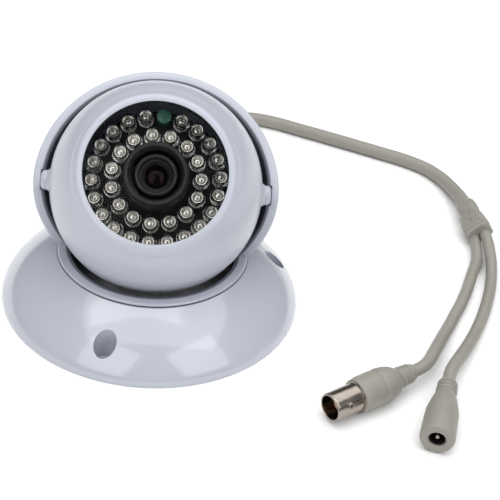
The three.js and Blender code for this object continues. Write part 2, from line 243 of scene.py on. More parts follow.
# %% A cord from a route
def smooth_line(route, steps=6):
    """Points of a soft curve through every point of the route."""
    ends = [2 * Vector(route[0]) - Vector(route[1])]
    ends += [Vector(p) for p in route]
    ends.append(2 * Vector(route[-1]) - Vector(route[-2]))
    line = []
    for a, b, c, d in zip(ends, ends[1:], ends[2:], ends[3:]):
        for k in range(steps):
            t = k / steps
            line.append(
                0.5 * (2 * b + (c - a) * t + (2 * a - 5 * b + 4 * c - d) * t**2
                       + (3 * b - a - 3 * c + d) * t**3)
            )
    line.append(Vector(route[-1]))
    return line


def cord(name, route, radius):
    """One open spline through the route, with a round section."""
    line = smooth_line(route)
    curve = bpy.data.curves.new(name, "CURVE")
    curve.dimensions = "3D"
    curve.bevel_depth = radius * MM
    curve.bevel_resolution = 6
    curve.use_fill_caps = True
    spline = curve.splines.new("POLY")
    spline.points.add(len(line) - 1)
    for point, place in zip(spline.points, line):
        point.co = (*(place * MM), 1.0)
    spline.use_smooth = True
    made = bpy.data.objects.new(name, curve)
    scene.collection.objects.link(made)
    curve.materials.append(SHEATH)
    span = sum((b - a).length for a, b in zip(line, line[1:]))
    print(name, "is", round(span), "mm long")
    return made, span * MM


main_cord, main_length = cord("main_cable_sheath", MAIN_ROUTE, CABLE_R)
video_cord, video_length = cord("video_lead_sheath", VIDEO_ROUTE, LEAD_R)
power_cord, power_length = cord("power_lead_sheath", POWER_ROUTE, LEAD_R)

# %% [markdown]
# ## Mesh helpers
#
# Nearly every hard part of this camera is turned: a profile spun round an axis. Real mouldings have
# no knife edges, so a profile point may carry a third number, the radius that rounds its corner.
# Parts that aren't turned are cut or joined with boolean modifiers, which are applied at once.

# %% From lists of points to objects
def body(name, points, faces, material, crease=32):
    """A closed mesh in millimetres as an object at the origin, smooth but for its real edges."""
    made = bmesh.new()
    corners = [made.verts.new(Vector(p) * MM) for p in points]
    for face in faces:
        made.faces.new([corners[i] for i in face])
    bmesh.ops.recalc_face_normals(made, faces=made.faces)
    mesh = bpy.data.meshes.new(name)
    made.to_mesh(mesh)
    made.free()
    mesh.materials.append(material)
    obj = bpy.data.objects.new(name, mesh)
    scene.collection.objects.link(obj)
    return smoothed(obj, crease)


def smoothed(obj, crease=32):
    """The object shaded smooth, but for edges sharper than the crease angle."""
    obj.data.shade_smooth()
    obj.data.set_sharp_from_angle(angle=math.radians(crease))
    return obj


def softened(profile, steps=4):
    """The profile with an arc in place of each corner that has a third number."""
    out = []
    for i, (*corner, size) in enumerate([p if len(p) == 3 else (*p, 0) for p in profile]):
        here = Vector(corner)
        if not size:
            out.append(here)
            continue
        before = Vector(profile[i - 1][:2]) - here
        after = Vector(profile[(i + 1) % len(profile)][:2]) - here
        reach = min(size, 0.48 * before.length, 0.48 * after.length)
        start = here + before.normalized() * reach
        end = here + after.normalized() * reach
        for k in range(steps + 1):
            t = k / steps
            out.append((1 - t) ** 2 * start + 2 * t * (1 - t) * here + t * t * end)
    return out


def spun(profile, sides):
    """Points and faces of a profile of (radius, height) spun round Z and closed on itself."""
    line = softened(profile)
    points, rings = [], []
    for radius, height in line:
        count = sides if radius > 1e-6 else 1
        rings.append([len(points) + k for k in range(count)])
        for k in range(count):
            a = 2 * math.pi * k / sides
            points.append((radius * math.cos(a), radius * math.sin(a), height))
    faces = []
    for low, high in zip(rings, rings[1:] + rings[:1]):
        for k in range(sides):
            quad = [low[k % len(low)], low[(k + 1) % len(low)]]
            quad += [high[(k + 1) % len(high)], high[k % len(high)]]
            quad = list(dict.fromkeys(quad))
            if len(quad) > 2:
                faces.append(quad)
    return points, faces


def turned(name, profile, material, sides=96, crease=32):
    """A turned part about Z, from (radius, height) or (radius, height, rounding) points."""
    points, faces = spun(profile, sides)
    return body(name, points, faces, material, crease)


print("turned parts and rounded corners are ready")


# %% Placing, cutting and joining
def placed(obj, matrix):
    """Moves the mesh itself, so that the object stays at the origin. The matrix is in metres."""
    obj.data.transform(matrix)
    return obj


def settled(obj):
    """The object with its modifiers' result as its plain mesh."""
    seen = obj.evaluated_get(bpy.context.evaluated_depsgraph_get())
    mesh = bpy.data.meshes.new_from_object(seen)
    mesh.name = obj.name
    obj.modifiers.clear()
    obj.data = mesh
    return obj


def carved(obj, tool, operation="DIFFERENCE", crease=32):
    """The object cut by, joined to or kept within the tool, which is used up."""
    cut = obj.modifiers.new("cut", "BOOLEAN")
    cut.object = tool
    cut.operation = operation
    cut.solver = "EXACT"
    settled(obj)
    bpy.data.objects.remove(tool)
    return smoothed(obj, crease)


def at(x, y, z):
    return Matrix.Translation(Vector((x, y, z)) * MM)


def turn_about(axis, degrees):
    return Matrix.Rotation(math.radians(degrees), 4, axis)


def prism(name, near, far, material):
    """A closed body between two outlines that have the same number of points."""
    count = len(near)
    faces = [list(range(count)), list(range(count, 2 * count))]
    faces += [[k, (k + 1) % count, count + (k + 1) % count, count + k] for k in range(count)]
    return body(name, [*near, *far], faces, material)


def block(name, wide, painted_shade, high, material):
    """A box from its (low, high) pair along each axis."""
    points = [(a, b, c) for a in wide for b in painted_shade for c in high]
    faces = [(0, 1, 3, 2), (4, 5, 7, 6), (0, 1, 5, 4), (2, 3, 7, 6), (0, 2, 6, 4), (1, 3, 7, 5)]
    return body(name, points, faces, material)


def arc(radius, start, end, steps, centre=0.0):
    """Profile points on a circle about (0, centre), by angle above the horizontal."""
    angles = [math.radians(start + (end - start) * k / steps) for k in range(steps + 1)]
    return [(radius * math.cos(a), centre + radius * math.sin(a)) for a in angles]


def given(obj, body_name, slot, *nodes):
    """The piece hung on its body, with the imported solids it replaces hidden."""
    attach(obj, body_name)
    if nodes:
        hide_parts(*nodes)
    return obj


def fitted(name, profile, material, sides, where, body_name, slot, *nodes, crease=32):
    """A turned piece, laid into place and handed to the frame."""
    made = placed(turned(name, profile, material, sides, crease), where)
    return given(made, body_name, slot, *nodes)


print("cutting and placing are ready")

# %% [markdown]
# ## Finishes of the camera's head and base
#
# The housing is ABS moulded in a polished tool: bright, cool white with a touch of lavender, and
# glossy enough to show the studio lights as soft panels. A polished moulding is never optically
# flat, so a very shallow swell bends those reflections, and fine dust dulls the gloss in patches.
# The ball, the yoke and the base differ in haze. Inside the yoke's cup and in the base's mouth the
# colour is darkened as painted shade, for the shadow in the gap round the ball and in the seam, and
# the coat is thinner there; both are found by their distance from the middle.

# %% Polished white housing
BALL_Z = 44.4
YOKE_R, YOKE_INNER_R = 42.3, 38.4
SEAM_R, SEAM_Z = 33.8, 18.5


def housing(name, swell, haze=0.0, height=0.0, inside=0.0, flat=1.0):
    """Gloss white, with painted shade and a thinner coat within a radius in millimetres; `flat` 0
    measures it from the Z axis.
    """
    f = Finish(name)
    vectors = "ShaderNodeVectorMath"
    offset = f.node(vectors, {"operation": "SUBTRACT"}, {0: f.place, 1: (0.0, 0.0, height * MM)})
    squashed = f.node(vectors, {"operation": "MULTIPLY"}, {0: offset, 1: (1, 1, flat)})
    radius = f.node(vectors, {"operation": "LENGTH"}, {0: squashed}, out="Value")
    # Painted shade: a mask that is 1 well within the radius and fades out at it.
    painted_shade = f.node("ShaderNodeMath", {"operation": "MULTIPLY", "use_clamp": True},
                  {0: inside - radius * 1000.0, 1: 3.0})
    wide = f.noise(26.0, 2.0)
    dust = f.noise(1.6, 4.0)
    colour = f.blend(wide, rgba(0.452, 0.474, 0.545), rgba(0.492, 0.512, 0.578))
    # Painted shade: dark navy grey within the radius, standing in for the shadow in the gap round the
    # ball and at the seam.
    colour = f.blend(painted_shade * 0.85, colour, rgba(0.06, 0.062, 0.085))
    peel = f.noise(3.2, 1.0)
    values = {
        "Base Color": colour,
        "Roughness": (0.16 + haze) + 0.10 * dust,
        "Coat Weight": (0.8 - 2.0 * haze) - 0.2 * painted_shade,
        "Coat Roughness": 0.015 + haze,
        "Normal": f.bump(peel * 0.7 + dust * 0.12, swell),
    }
    return f.done(f.principled(values))


WHITE_SHELL = housing("polished_white_shell", 0.010, haze=0.16)
# The yoke's cup and the base's mouth get painted shade within the given radius; the ball's shell has
# none.
WHITE_YOKE = housing("polished_white_yoke", 0.010, haze=0.10, height=BALL_Z,
                     inside=YOKE_INNER_R + 1.2)
WHITE_BASE = housing("polished_white_base", 0.006, inside=SEAM_R + 0.3, flat=0.0)
print("housing finishes made")


# %% Black plastic, rubber and the circuit board
def black_plastic(name, grain, rough):
    f = Finish(name)
    skin = f.noise(grain, 3.0)
    colour = f.blend(skin, rgba(0.008, 0.007, 0.007), rgba(0.018, 0.016, 0.015))
    normal = f.bump(skin, 0.02)
    values = {"Base Color": colour, "Roughness": rough + 0.15 * skin, "Normal": normal}
    values["Specular IOR Level"] = 0.3
    return f.done(f.principled(values))


BLACK_SATIN = black_plastic("black_satin_plastic", 0.5, 0.32)
BLACK_RUBBER = black_plastic("black_rubber", 0.8, 0.62)


def solder_mask():
    """Black lacquer over glass cloth: the weave shows as a faint grid, and tracks stand proud."""
    f = Finish("black_solder_mask")
    weave = f.node(
        "ShaderNodeTexBrick",
        {"offset": 0.5},
        {"Vector": f.place, "Scale": 400.0, "Mortar Size": 0.06},
        out="Fac",
    )
    cloth = f.noise(0.7, 3.0)
    colour = f.blend(weave * 0.5, rgba(0.006, 0.006, 0.005), rgba(0.013, 0.012, 0.010))
    values = {"Base Color": colour, "Roughness": 0.42 + 0.25 * cloth, "Normal": f.bump(weave, 0.02)}
    values["Specular IOR Level"] = 0.2
    return f.done(f.principled(values))


BOARD = solder_mask()
print("black finishes made")


# %% Metals
def plated(name, dull, bright, rough):
    """Nickel plate: turning marks too fine to see one by one, and a few dull patches."""
    f = Finish(name)
    patches = f.noise(2.2, 3.0)
    marks = f.noise(0.25, 2.0)
    values = {
        "Base Color": f.blend(patches, rgba(*dull), rgba(*bright)),
        "Metallic": 1.0,
        "Roughness": rough + 0.10 * patches,
        "Normal": f.bump(marks, 0.004),
    }
    return f.done(f.principled(values))


NICKEL = plated("nickel_plate", (0.26, 0.225, 0.195), (0.42, 0.375, 0.33), 0.17)
CUP_METAL = plated("lead_frame_silver", (0.48, 0.46, 0.42), (0.80, 0.77, 0.72), 0.16)
SCREW_STEEL = plated("blackened_screw", (0.10, 0.10, 0.11), (0.20, 0.20, 0.21), 0.30)
print("metals made")


# %% Clear things
def clear_plate(name, strength):
    """Thin clear plastic: what isn't mirrored goes straight through, with a few smears."""
    f = Finish(name)
    smear = f.noise(14.0, 2.0)
    mirror = f.principled(
        {"Base Color": rgba(0.9, 0.92, 0.95), "Roughness": 0.04, "Metallic": 1.0}
    )
    through = f.node("ShaderNodeBsdfTransparent", {}, {"Color": rgba(0.97, 0.98, 0.99)})
    grazing = f.node("ShaderNodeFresnel", {}, {"IOR": 1.45})
    share = grazing * (strength + 0.06 * smear)
    return f.done(f.node("ShaderNodeMixShader", {}, {0: share, 1: through, 2: mirror}))


def clear_epoxy():
    """The cast lens of an LED: solid, so it bends light and magnifies what is inside."""
    f = Finish("clear_led_epoxy")
    ripple = f.noise(1.4, 1.0)
    colour = f.blend(ripple, rgba(0.93, 0.93, 0.90), rgba(0.99, 0.99, 0.97))
    values = {
        "Base Color": colour,
        "Transmission Weight": 1.0,
        "Roughness": 0.015 + 0.02 * ripple,
        "IOR": 1.5,
        "Normal": f.bump(ripple, 0.01),
    }
    return f.done(f.principled(values))


def coated_glass():
    """Lens glass: nearly black, with the purple and green of an anti-reflection coating."""
    f = Finish("coated_lens_glass")
    facing = f.node("ShaderNodeLayerWeight", {}, {"Blend": 0.35}, out="Facing")
    tint = f.blend(facing, rgba(0.0035, 0.0018, 0.0022), rgba(0.003, 0.003, 0.003))
    values = {
        "Base Color": tint,
        "Roughness": 0.03 + 0.02 * f.noise(2.0),
        "Specular IOR Level": 0.12,
        "Specular Tint": rgba(0.75, 0.4, 0.45),
        "Coat Weight": 0.03,
        "Coat Roughness": 0.02,
    }
    return f.done(f.principled(values))


WINDOW = clear_plate("clear_window_plastic", 0.07)
EPOXY = clear_epoxy()
LENS_GLASS = coated_glass()
print("clear finishes made")


# %% The photocell and the jack's insulator
def photocell_finish():
    """Green resin over a light-sensitive track that winds to and fro in brown."""
    f = Finish("green_photocell_resin")
    wave = f.node(
        "ShaderNodeTexWave",
        {"wave_type": "BANDS", "bands_direction": "X"},
        {"Vector": f.place, "Scale": 210.0, "Distortion": 1.5, "Detail": 1.0},
        out="Fac",
    )
    mottle = f.noise(1.2, 3.0)
    green = f.blend(mottle, rgba(0.022, 0.095, 0.060), rgba(0.055, 0.215, 0.150))
    colour = f.blend(wave**6.0 * 0.25, green, rgba(0.12, 0.09, 0.05))
    values = {"Base Color": colour, "Roughness": 0.18 + 0.1 * mottle, "Normal": f.bump(wave, 0.02)}
    return f.done(f.principled(values))


def insulator_finish():
    """Unfilled tan plastic with the swirl that moulding leaves."""
    f = Finish("tan_insulator")
    swirl = f.noise(1.5, 3.0)
    colour = f.blend(swirl, rgba(0.40, 0.20, 0.09), rgba(0.62, 0.36, 0.19))
    values = {"Base Color": colour, "Roughness": 0.4 + 0.15 * swirl, "Normal": f.bump(swirl, 0.02)}
    return f.done(f.principled(values))


PHOTOCELL_GREEN = photocell_finish()
TAN = insulator_finish()
print("small finishes made")

# %% [markdown]
# ## The base
#
# The cover is a flared bell with three screw wells sunk in its flare, each with a hole in its floor,
# and a notch at the back for the cable's grommet. It is turned once from a finely rounded profile,
# then the wells' posts are added and the wells, holes and notch cut away.

# %% The bell's profile
RIM_R, RIM_H = 53.0, 1.7
MOUTH_R, MOUTH_DEPTH = 31.5, 3.2
WALL = 2.2


def bell(steps=28):
    """The flare from rim to seam, and its inward normals."""
    a, b, c, d = (Vector(p) for p in ((RIM_R, RIM_H), (50, 9), (39.5, 15), (SEAM_R, SEAM_Z)))
    line, inward = [], []
    for k in range(steps + 1):
        t = k / steps
        s = 1 - t
        line.append(s**3 * a + 3 * s * s * t * b + 3 * s * t * t * c + t**3 * d)
        along = (3 * s * s * (b - a) + 6 * s * t * (c - b) + 3 * t * t * (d - c)).normalized()
        inward.append(Vector((-along.y, along.x)))
    return line, inward


flare, flare_in = bell()
cover_profile = [(RIM_R - WALL, 0), (RIM_R, 0, 0.35), (RIM_R, RIM_H - 0.3, 0.8)]
cover_profile += [tuple(p) for p in flare[1:-1]]
cover_profile += [(SEAM_R, SEAM_Z, 0.5), (MOUTH_R, SEAM_Z, 0.3), (MOUTH_R, SEAM_Z - MOUTH_DEPTH)]
cover_profile += [tuple(p + WALL * n) for p, n in list(zip(flare, flare_in))[-2:1:-1]]
cover = turned("base_cover_shell", cover_profile, WHITE_BASE, sides=144, crease=35)
print("bell of", len(cover.data.polygons), "faces")

# %% Wells, screw holes and the cable's notch
WELL_R, WELL_WALL, WELL_FLOOR = 3.8, 1.7, 1.6
HOLE_R = 2.1
WELL_CIRCLE = 45.8
WELL_ANGLES = (-16.5, 103.5, 223.5)
OUTLET_ANGLE, OUTLET_Z = 164, 4.9
GROMMET_R, NOTCH_R = 4.6, 4.9


def around(degrees, radius):
    """A place on a circle about Z, by its angle from the front towards +X."""
    a = math.radians(degrees)
    return radius * math.sin(a), -radius * math.cos(a)


def disc(name, radius, low, high, material, sides=48):
    return turned(name, [(0, low), (radius, low), (radius, high), (0, high)], material, sides)


SUNK = 0.6  # a post ends this far under the cover's skin, so that the two join cleanly
sunk_flare = [tuple(p + SUNK * n) for p, n in list(zip(flare, flare_in))[1:]]
skin_profile = [(0, 0), (RIM_R - SUNK, 0)] + sunk_flare + [(0, sunk_flare[-1][1])]
for degrees in WELL_ANGLES:
    x, y = around(degrees, WELL_CIRCLE)
    post = placed(disc("post", WELL_R + WELL_WALL, 0.03, SEAM_Z, WHITE_BASE), at(x, y, 0))
    carved(post, turned("skin", skin_profile, WHITE_BASE, sides=144), "INTERSECT")
    carved(cover, post, "UNION")
    well = [(0, WELL_FLOOR), (WELL_R, WELL_FLOOR, 0.5), (WELL_R, SEAM_Z + 1), (0, SEAM_Z + 1)]
    carved(cover, placed(turned("well", well, WHITE_BASE, 64), at(x, y, 0)))
    carved(cover, placed(disc("hole", HOLE_R, -1, WELL_FLOOR + 1, WHITE_BASE), at(x, y, 0)))

notch = [(-NOTCH_R, -3.0), (NOTCH_R, -3.0)] + arc(NOTCH_R, 0, 180, 16, OUTLET_Z)
outer_end, inner_end = ([(u, depth, v) for u, v in notch] for depth in (-55.0, -43.0))
tool = prism("notch", outer_end, inner_end, WHITE_BASE)
carved(cover, placed(tool, turn_about("Z", OUTLET_ANGLE)), crease=35)
given(cover, "base", "housing", "base_cover")
print("base cover", len(cover.data.polygons), "faces")

# %% [markdown]
# The grommet is a rubber sleeve that stiffens the cable where it leaves, so it tapers away along
# the cable in soft steps. Inside, a ring with three ears holds the yoke's flange.

# %% Grommet and retaining ring
grommet_profile = [
    (CABLE_R + 0.25, 46), (GROMMET_R, 46, 0.3), (GROMMET_R, 52.6, 0.3), (GROMMET_R - 0.5, 53.6, 0.4),
    (CABLE_R + 0.7, 54.2, 0.3), (CABLE_R + 0.25, 54.2),
]
IN_OUTLET = turn_about("Z", OUTLET_ANGLE) @ at(0, 0, OUTLET_Z) @ turn_about("X", 90)
fitted("cable_grommet_sleeve", grommet_profile, BLACK_RUBBER, 48, IN_OUTLET,
       "base", "rubber", "cable_grommet")

RETAINER_R, EAR_R, EAR_CIRCLE = 35.2, 2.6, 35.4
FIRST_EAR = 44
ring_profile = [(29.4, 10.2), (RETAINER_R, 10.2, 0.3), (RETAINER_R, 12.1, 0.3), (29.4, 12.1)]
retainer = turned("retaining_ring_part", ring_profile, BLACK_SATIN, sides=96)
for degrees in (FIRST_EAR, FIRST_EAR + 120, FIRST_EAR + 240):
    x, y = around(degrees, EAR_CIRCLE)
    ear = placed(disc("ear", EAR_R, 10.2, 12.1, BLACK_SATIN, 32), at(x, y, 0))
    carved(retainer, ear, "UNION")
given(retainer, "base", "black_plastic", "retaining_ring")
print("grommet and retaining ring made")

# %% [markdown]
# ### Screws by rule
#
# The three screws of the retaining ring have a pan head with a cross recess. Geometry Nodes put a
# copy on each point of a small circle: the tree has the circle's radius, the count and the height as
# named inputs, and its copies are made real at the end. The LEDs come from the same tree.

# %% How both trees start and end, and a tree that sets copies on a circle
def started(name, inputs):
    """An empty geometry tree with the named inputs, and a way to ask for each of them."""
    group = bpy.data.node_groups.new(name, "GeometryNodeTree")
    face = group.interface
    for label, kind in inputs.items():
        face.new_socket(label, in_out="INPUT", socket_type="NodeSocket" + kind)
    face.new_socket("Geometry", in_out="OUTPUT", socket_type="NodeSocketGeometry")
    t = Tree(group)
    entry = group.nodes.new("NodeGroupInput")
    return t, lambda label: Wire(t, entry.outputs[label])


def finished(t, copies, material, smooth=False):
    """The tree's end: copies made real, shaded and given their material."""
    shape = t.node("GeometryNodeRealizeInstances", {}, {"Geometry": copies})
    if smooth:
        shape = t.node("GeometryNodeSetShadeSmooth", {}, {"Geometry": shape})
    shape = t.node("GeometryNodeSetMaterial", {}, {"Geometry": shape, "Material": material})
    t.node("NodeGroupOutput", {}, {"Geometry": shape})
    return t.tree


def circle_tree(name):
    """Copies of an object round a circle, each facing outwards, as one real mesh."""
    t, asked = started(name, {
        "Piece": "Object", "Count": "Int", "First": "Int", "Last": "Int", "Radius": "Float",
        "Height": "Float", "Start angle": "Float", "Lean": "Float", "Seed": "Int",
        "Material": "Material",
    })
    index = t.node("GeometryNodeInputIndex")
    step = t.node("ShaderNodeMath", {"operation": "DIVIDE"}, {0: math.tau, 1: asked("Count")})
    angle = (index + asked("First")) * step + asked("Start angle")
    across = t.node("ShaderNodeMath", {"operation": "COSINE"}, {0: angle}) * asked("Radius")
    along = t.node("ShaderNodeMath", {"operation": "SINE"}, {0: angle}) * asked("Radius")
    spot = t.node("ShaderNodeCombineXYZ", {}, {0: across, 1: along, 2: asked("Height")})
    many = asked("Last") - asked("First") + 1
    points = t.node("GeometryNodePoints", {}, {"Count": many, "Position": spot})
    wobble = [
        t.node("FunctionNodeRandomValue", {"data_type": "FLOAT"},
               {2: -1.0, 3: 1.0, "ID": index, "Seed": asked("Seed") + k}, out=1)
        for k in range(2)
    ]
    leans = {0: wobble[0] * asked("Lean"), 1: wobble[1] * asked("Lean"), 2: angle}
    lean = t.node("ShaderNodeCombineXYZ", {}, leans)
    piece = t.node("GeometryNodeObjectInfo", {}, {"Object": asked("Piece")}, out="Geometry")
    copies = t.node("GeometryNodeInstanceOnPoints", {},
                    {"Points": points, "Instance": piece, "Rotation": lean})
    return finished(t, copies, asked("Material"))


CIRCLE_OF_COPIES = circle_tree("copies_round_a_circle")


def grown(name, tree, settings):
    """A new plain mesh made by a geometry tree, whose inputs are set by identifier."""
    obj = bpy.data.objects.new(name, bpy.data.meshes.new(name))
    scene.collection.objects.link(obj)
    growth = obj.modifiers.new("growth", "NODES")
    growth.node_group = tree
    for item in tree.interface.items_tree:
        if item.item_type == "SOCKET" and item.in_out == "INPUT" and item.name in settings:
            growth[item.identifier] = settings[item.name]
    obj.update_tag()
    bpy.context.view_layer.update()
    return settled(obj)


print("the tree has", len(CIRCLE_OF_COPIES.nodes), "nodes")


# %% A pan-head screw, and three of them
def pan_screw(name, radius, height, material):
    """A domed head with a cross recess, standing on z = 0."""
    head = [(0, -0.2), (radius, -0.2), (radius, 0.35 * height, 0.2)]
    head += [(0.75 * radius, 0.85 * height, 0.3), (0, height)]
    screw = turned(name, head, material, sides=32, crease=40)
    for quarter in (0, 90):
        reach = 0.55 * radius
        bar = block("slot", (-reach, reach), (-0.16, 0.16), (0.35 * height, height + 1), material)
        carved(screw, placed(bar, turn_about("Z", quarter)))
    return screw


seed_screw = pan_screw("seed_screw", 2.1, 1.3, SCREW_STEEL)
placed(seed_screw, turn_about("X", 180))
ring_screws = grown(
    "retaining_screws",
    CIRCLE_OF_COPIES,
    {
        "Piece": seed_screw, "Count": 3, "First": 0, "Last": 2, "Radius": EAR_CIRCLE * MM,
        "Height": 10.2 * MM, "Start angle": math.radians(FIRST_EAR - 90), "Lean": 0.0, "Seed": 1,
        "Material": SCREW_STEEL,
    },
)
bpy.data.objects.remove(seed_screw)
given(smoothed(ring_screws, 40), "base", "nickel")
print("retaining screws:", len(ring_screws.data.polygons), "faces")

# %% [markdown]
# ## The yoke
#
# The yoke's cup is a slice of a sphere round the back of the ball: upright at the front of each arm,
# then rising backwards through the pivots, with the two edges running softly into each other. A
# boolean would leave that rim knife-sharp, so it is built as a sheet of rows instead. The first
# rows go round the rim's own rounded section, and the rest spread over the sphere down to the
# collar, outside and inside. Every point lies on its sphere, so the gloss stays clean.

# %% The rim's path over the sphere
YOKE_SLOPE, YOKE_FRONT, YOKE_BEND = 43.0, -2.5, 9.0
COLLAR_Z = 18.8
RIM_SOFT = 0.9


def side_line(steps=90):
    """The rim seen from the side, from the collar up and back, as (y, z) from the ball's centre."""
    slope = math.radians(YOKE_SLOPE)
    corner = Vector((YOKE_FRONT, YOKE_FRONT * math.tan(slope)))
    low = Vector((YOKE_FRONT, COLLAR_Z - BALL_Z))
    start = corner - Vector((0, YOKE_BEND))
    end = corner + YOKE_BEND * Vector((math.cos(slope), math.sin(slope)))
    top = YOKE_R * Vector((math.cos(slope), math.sin(slope)))
    line = [low + (start - low) * k / 18 for k in range(18)]
    for k in range(16):
        t = k / 16
        line.append((1 - t) ** 2 * start + 2 * t * (1 - t) * corner + t * t * end)
    rest = steps - len(line)
    reach = (top - end).length
    for k in range(rest + 1):
        swing = math.sin(math.pi / 2 * k / rest)
        line.append(end + (top - end).normalized() * reach * swing)
    return line


def rim_directions():
    """Unit vectors from the ball's centre along the rim, from one arm's foot to the other's."""
    half = []
    for y, z in side_line():
        x = math.sqrt(max(YOKE_R**2 - y * y - z * z, 0.0))
        half.append(Vector((x, y, z)).normalized())
    return half + [Vector((-p.x, p.y, p.z)) for p in half[-2::-1]]


rim = rim_directions()
print("rim of", len(rim), "stations")

# %% Rows of the cup, from the inner foot over the rim to the outer foot
def foot_direction(share, radius):
    """Where the cup meets the collar, for a share of the way from arm to arm round the back."""
    drop = COLLAR_Z - 0.2 - BALL_Z
    flat = math.sqrt(radius**2 - drop**2)
    start = math.asin(YOKE_FRONT / flat)
    a = start + (math.pi - 2 * start) * share
    return Vector((flat * math.cos(a), flat * math.sin(a), drop)).normalized()


def cup_station(i, radius_out, radius_in, rows=20):
    """One column of points: (direction, radius) pairs from the inner foot to the outer foot."""
    here = rim[i]
    along = (rim[min(i + 1, len(rim) - 1)] - rim[max(i - 1, 0)]).normalized()
    inward = here.cross(along).normalized()
    if inward.z > 0:
        inward = -inward
    share = i / (len(rim) - 1)
    soft = RIM_SOFT / radius_out
    outer, inner = [], []
    for k in range(5):
        a = math.pi / 2 * k / 4
        step = (here + inward * soft * (1 - math.cos(a))).normalized()
        sink = RIM_SOFT * (1 - math.sin(a))
        outer.append((step, radius_out - sink))
        inner.append((step, radius_in + sink))
    for side, radius in ((outer, radius_out), (inner, radius_in)):
        start = side[-1][0]
        end = foot_direction(share, radius)
        for k in range(1, rows + 1):
            side.append((start.lerp(end, (k / rows) ** 1.15).normalized(), radius))
    return inner[::-1] + outer


cup_points, cup_faces = [], []
columns = [cup_station(i, YOKE_R, YOKE_INNER_R) for i in range(len(rim))]
depth = len(columns[0])
for column in columns:
    cup_points += [tuple(p * r + Vector((0, 0, BALL_Z))) for p, r in column]
for i in range(len(columns) - 1):
    for k in range(depth):
        nxt = (k + 1) % depth
        cup_faces.append([i * depth + k, i * depth + nxt, (i + 1) * depth + nxt, (i + 1) * depth + k])
cup_faces.append(list(range(depth)))
cup_faces.append(list(range((len(columns) - 1) * depth, len(columns) * depth)))
yoke = body("yoke_shell", cup_points, cup_faces, WHITE_YOKE, crease=38)
print("cup of", len(yoke.data.polygons), "faces")

# %% [markdown]
# The collar is turned: a skirt and flange that turn inside the base, and a thin visible band on top
# of the seam. The pivots' slots are cut last, round at the back and open to the front, so that the
# ball's pins snap in.

# %% Collar and pivot slots
collar_profile = [
    (29.4, 12.4), (33.2, 12.4, 0.3), (33.2, 15.0, 0.3), (31.2, 15.0), (31.2, 18.8),
    (33.75, 18.8, 0.25), (33.5, 19.6, 0.5), (29.4, 19.7, 0.4),
]
collar = turned("collar", collar_profile, WHITE_YOKE, sides=144)
carved(yoke, collar, "UNION", crease=38)

SLOT_R, SLOT_REACH = 3.7, 39.8
slot_side = [(-9.0, -SLOT_R)]
slot_side += [(SLOT_R * math.cos(a), SLOT_R * math.sin(a))
              for a in [math.radians(-90 + 180 * k / 16) for k in range(17)]]
slot_side += [(-9.0, SLOT_R)]
for side in (-1, 1):
    ends = ([(side * x, y, z) for y, z in slot_side] for x in (36.0, SLOT_REACH))
    slot = prism("pivot_slot", *ends, WHITE_YOKE)
    carved(yoke, placed(slot, at(0, 0, BALL_Z)), crease=38)
given(yoke, "yoke", "housing", "yoke")
print("yoke", len(yoke.data.polygons), "faces")

# %% [markdown]
# ## The ball
#
# Everything in the ball is drawn about the lens axis and then laid into place by one matrix. The
# front shell is one turned profile: sphere, a shallow groove, the bezel's ridge and the window's
# seat, with a pin each side to tilt on. The rear shell is a touch smaller, which leaves the step that
# shows as a thin line, and has a hole for the wires.

# %% The ball's own frame, and its shells
TILT = 42.5
BALL_R, BALL_WALL, SPLIT = 36.4, 2.2, -6.0
IN_BALL = at(0, 0, BALL_Z) @ turn_about("X", 90 - TILT)


def latitude(radius, height):
    return math.degrees(math.asin(height / radius))


bezel_angle = math.degrees(math.acos(27.6 / BALL_R))
inner_r = BALL_R - BALL_WALL
front_profile = [(*arc(BALL_R, latitude(BALL_R, SPLIT), 0, 1)[0], 0.5)]
front_profile += arc(BALL_R, latitude(BALL_R, SPLIT) + 2, bezel_angle - 0.6, 34)
front_profile += [
    (27.45, 23.95, 0.3), (27.1, 24.7, 0.5), (25.9, 26.4, 0.8), (24.9, 26.9, 0.6), (23.5, 26.9, 0.25),
    (23.5, 26.6), (25.1, 26.6), (25.1, 23.1),
]
front_profile += arc(inner_r, latitude(inner_r, 22.6), latitude(inner_r, SPLIT), 16)
front = turned("front_shell_part", front_profile, WHITE_SHELL, sides=144, crease=35)
pin_profile = [
    (0, 35.4), (4.6, 35.4), (3.9, 36.6, 0.7), (3.4, 37.2, 0.5), (3.4, 38.4, 0.6), (2.6, 39.3, 0.5),
    (0, 39.4),
]
for side in (-90, 90):
    pin = placed(turned("pin", pin_profile, WHITE_SHELL, sides=48), turn_about("Y", side))
    carved(front, pin, "UNION", crease=35)
given(placed(front, IN_BALL), "ball", "housing", "front_shell")

rear_r = BALL_R - 0.6
rear_profile = arc(rear_r, -72, latitude(rear_r, SPLIT - 0.3), 30)
rear_profile += [(33.3, -6.3), (33.2, -3.0), (31.9, -3.0)]
rear_profile += arc(rear_r - 1.9, latitude(rear_r - 1.9, SPLIT - 1), -72, 24)
fitted("rear_shell_part", rear_profile, WHITE_SHELL, 144, IN_BALL,
       "ball", "housing", "rear_shell", crease=35)
print("ball shells made")

# %% [markdown]
# ### Window, seal and board
#
# A flat clear disc closes the front. Its rim is rounded so that it catches a thin light line, and a
# dark seal behind it hides the board's edge. The board carries the photocell, in the outer ring's
# top place, and a small screw with a dimple.

# %% Window, seal, board, photocell and the board's screw
WINDOW_R = 24.8
window_profile = [(0, 24.9), (WINDOW_R, 24.9, 0.2), (WINDOW_R, 26.3, 0.3), (0, 26.3)]
fitted("clear_window_disc", window_profile, WINDOW, 128, IN_BALL,
       "ball", "clear_window", "front_window")
seal_profile = [(23.5, 23.2, 0.4), (WINDOW_R, 23.2), (WINDOW_R, 24.6), (23.5, 24.6, 0.4)]
fitted("window_seal_ring", seal_profile, BLACK_RUBBER, 128, IN_BALL,
       "ball", "rubber", "window_seal")

